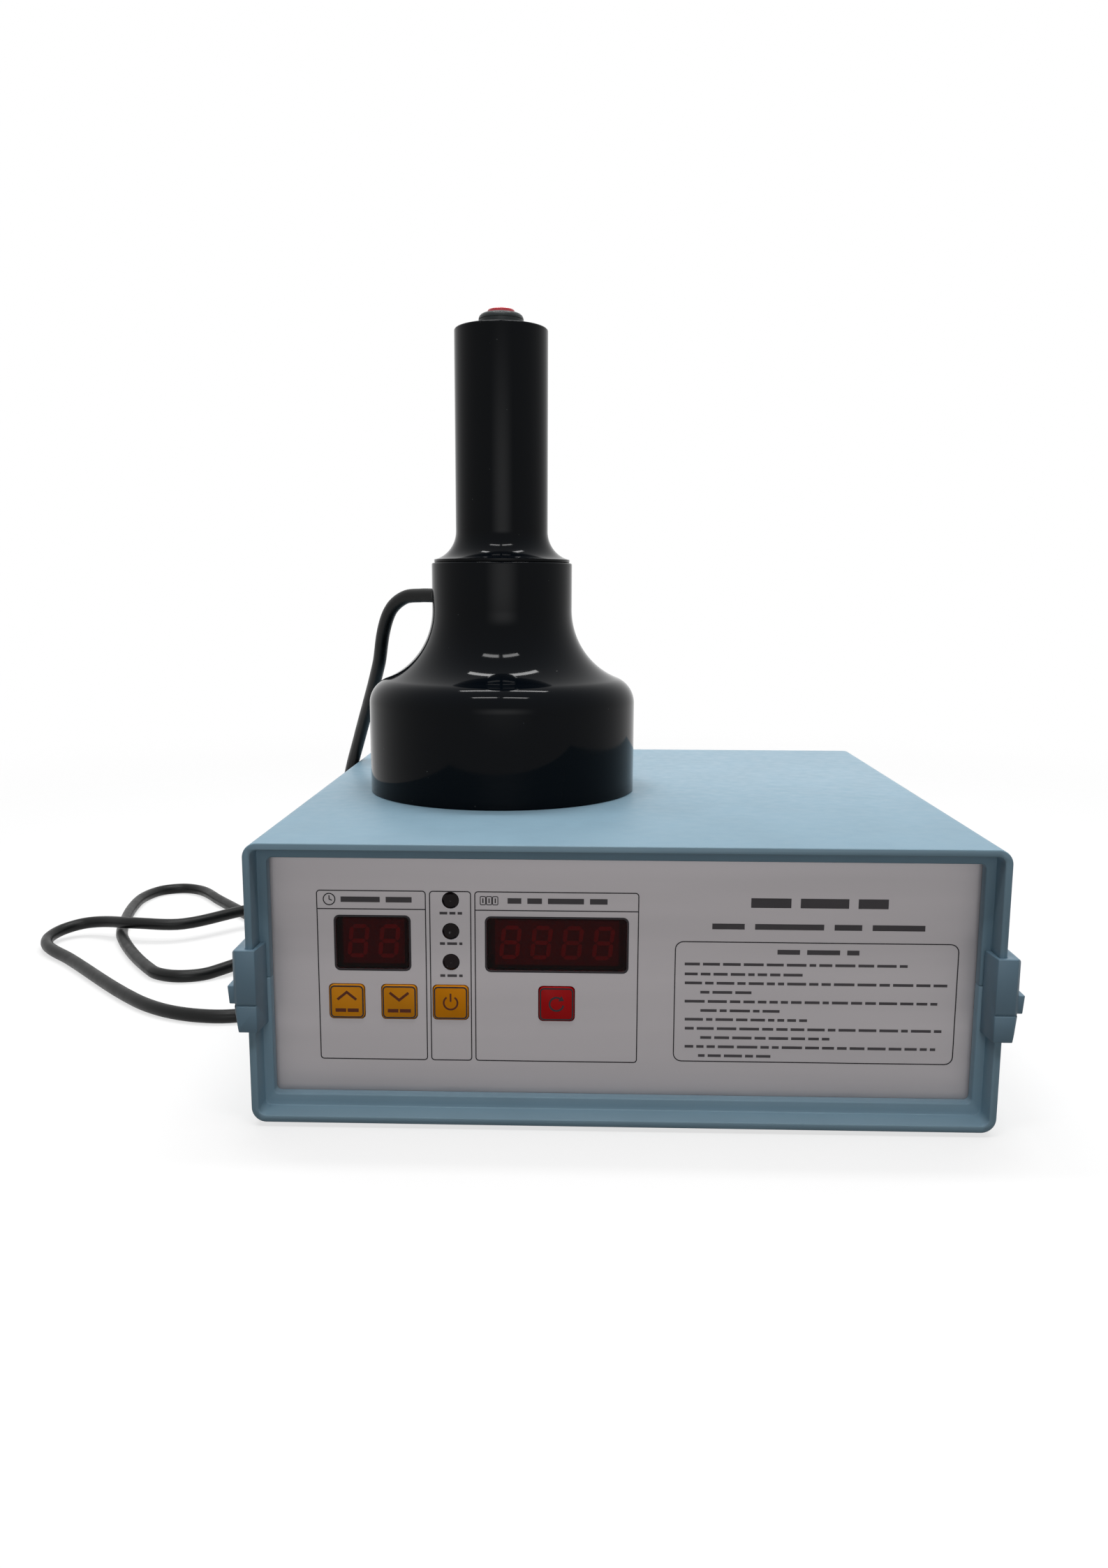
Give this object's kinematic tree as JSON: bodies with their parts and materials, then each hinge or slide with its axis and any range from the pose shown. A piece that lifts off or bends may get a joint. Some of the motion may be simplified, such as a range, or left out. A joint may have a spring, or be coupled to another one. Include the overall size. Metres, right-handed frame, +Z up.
{
  "type": "induction cap sealer",
  "caption": "Bench-top induction cap sealer: a power case with a keypad panel, and a hand-held sealing head on a lead standing on top.",
  "frame": {"origin": "centre of the case's footprint, on the surface that its feet stand on", "axes": "+X to the right as seen from the keypad side, +Y to the rear, +Z up"},
  "size_m": [0.503, 0.3765, 0.3472],
  "materials": {
    "case_plastic": "fine moulded texture, blue-grey",
    "clip_plastic": "fine moulded texture, darker blue-grey",
    "panel_plastic": "satin grey sheet",
    "printed_film": "satin silver printed film",
    "window": "tinted clear plastic",
    "lamp": "unlit tinted lens",
    "key_amber": "satin amber",
    "key_orange": "satin orange",
    "key_red": "satin red",
    "soft_black": "matt black",
    "gloss_black": "polished black",
    "rubber": "matt black rubber",
    "cable_sheath": "satin black sheath",
    "steel": "bright zinc plate",
    "aluminium": "extruded",
    "copper": "enamelled copper wire",
    "ferrite": "matt sintered",
    "circuit_board": "green solder mask",
    "capacitor_sleeve": "shrink sleeve",
    "capacitor_case": "moulded yellow",
    "winding_tape": "yellow tape",
    "terminal_plastic": "moulded green",
    "former_plastic": "heat-proof moulding",
    "bezel_plastic": "dark grey",
    "button_red": "satin red"
  },
  "bodies": {
    "case": {"bottom_shell": "case_plastic", "top_shell": "case_plastic", "case_screws": "steel", "rubber_feet": "rubber", "front_left_clip": "clip_plastic", "front_right_clip": "clip_plastic", "rear_left_clip": "clip_plastic", "rear_right_clip": "clip_plastic", "front_panel": "panel_plastic", "panel_film": "printed_film", "time_window": "window", "count_window": "window", "level_lamps": "lamp", "display_board": "circuit_board", "display_screws": "steel", "time_display": "soft_black", "count_display": "soft_black", "tact_switches": "soft_black", "main_board": "circuit_board", "board_screws": "steel", "heat_sink": "aluminium", "power_transistors": "soft_black", "bridge_rectifier": "soft_black", "bus_capacitors": "capacitor_sleeve", "resonant_capacitors": "capacitor_case", "choke": "copper", "supply_core": "ferrite", "supply_winding": "winding_tape", "terminal_block": "terminal_plastic", "rear_panel": "panel_plastic", "fan_frame": "soft_black", "fan_guard": "steel", "fan_screws": "steel", "mains_inlet": "soft_black", "inlet_pins": "steel", "switch_frame": "soft_black", "fuse_holder": "soft_black", "fuse_nut": "soft_black", "fuse_cap": "soft_black", "rear_gland": "soft_black", "gland_nut": "soft_black", "head_bell": "gloss_black", "base_plate": "soft_black", "base_screws": "steel", "coil_former": "former_plastic", "induction_coil": "copper", "ferrite_bars": "ferrite", "head_handle": "gloss_black", "trigger_bezel": "bezel_plastic", "trigger_switch": "soft_black", "trigger_nut": "steel", "neck_bush": "rubber", "head_cable": "cable_sheath"},
    "trigger": {"trigger_button": "button_red"},
    "up_key": {"key_up": "key_amber"},
    "down_key": {"key_down": "key_amber"},
    "level_key": {"key_level": "key_orange"},
    "reset_key": {"key_reset": "key_red"},
    "rocker": {"mains_rocker": "gloss_black"},
    "fan": {"fan_rotor": "soft_black"}
  },
  "joints": [
    {"name": "trigger_press", "type": "slide", "parent": "case", "child": "trigger", "axis": [0, 0, -1], "range_m": [0, 0.0025], "stiffness_N_per_m": 800},
    {"name": "up_key_press", "type": "slide", "parent": "case", "child": "up_key", "axis": [0, 1, 0], "range_m": [0, 0.0005], "stiffness_N_per_m": 1500},
    {"name": "down_key_press", "type": "slide", "parent": "case", "child": "down_key", "axis": [0, 1, 0], "range_m": [0, 0.0005], "stiffness_N_per_m": 1500},
    {"name": "level_key_press", "type": "slide", "parent": "case", "child": "level_key", "axis": [0, 1, 0], "range_m": [0, 0.0005], "stiffness_N_per_m": 1500},
    {"name": "reset_key_press", "type": "slide", "parent": "case", "child": "reset_key", "axis": [0, 1, 0], "range_m": [0, 0.0005], "stiffness_N_per_m": 1500},
    {"name": "rocker_tilt", "type": "hinge", "parent": "case", "child": "rocker", "pos_m": [-0.066, 0.1259, 0.082], "axis": [1, 0, 0], "range_deg": [-18, 0]},
    {"name": "fan_spin", "type": "hinge", "parent": "case", "child": "fan", "pos_m": [0.08, 0.1125, 0.06], "axis": [0, 1, 0], "continuous": true}
  ]
}
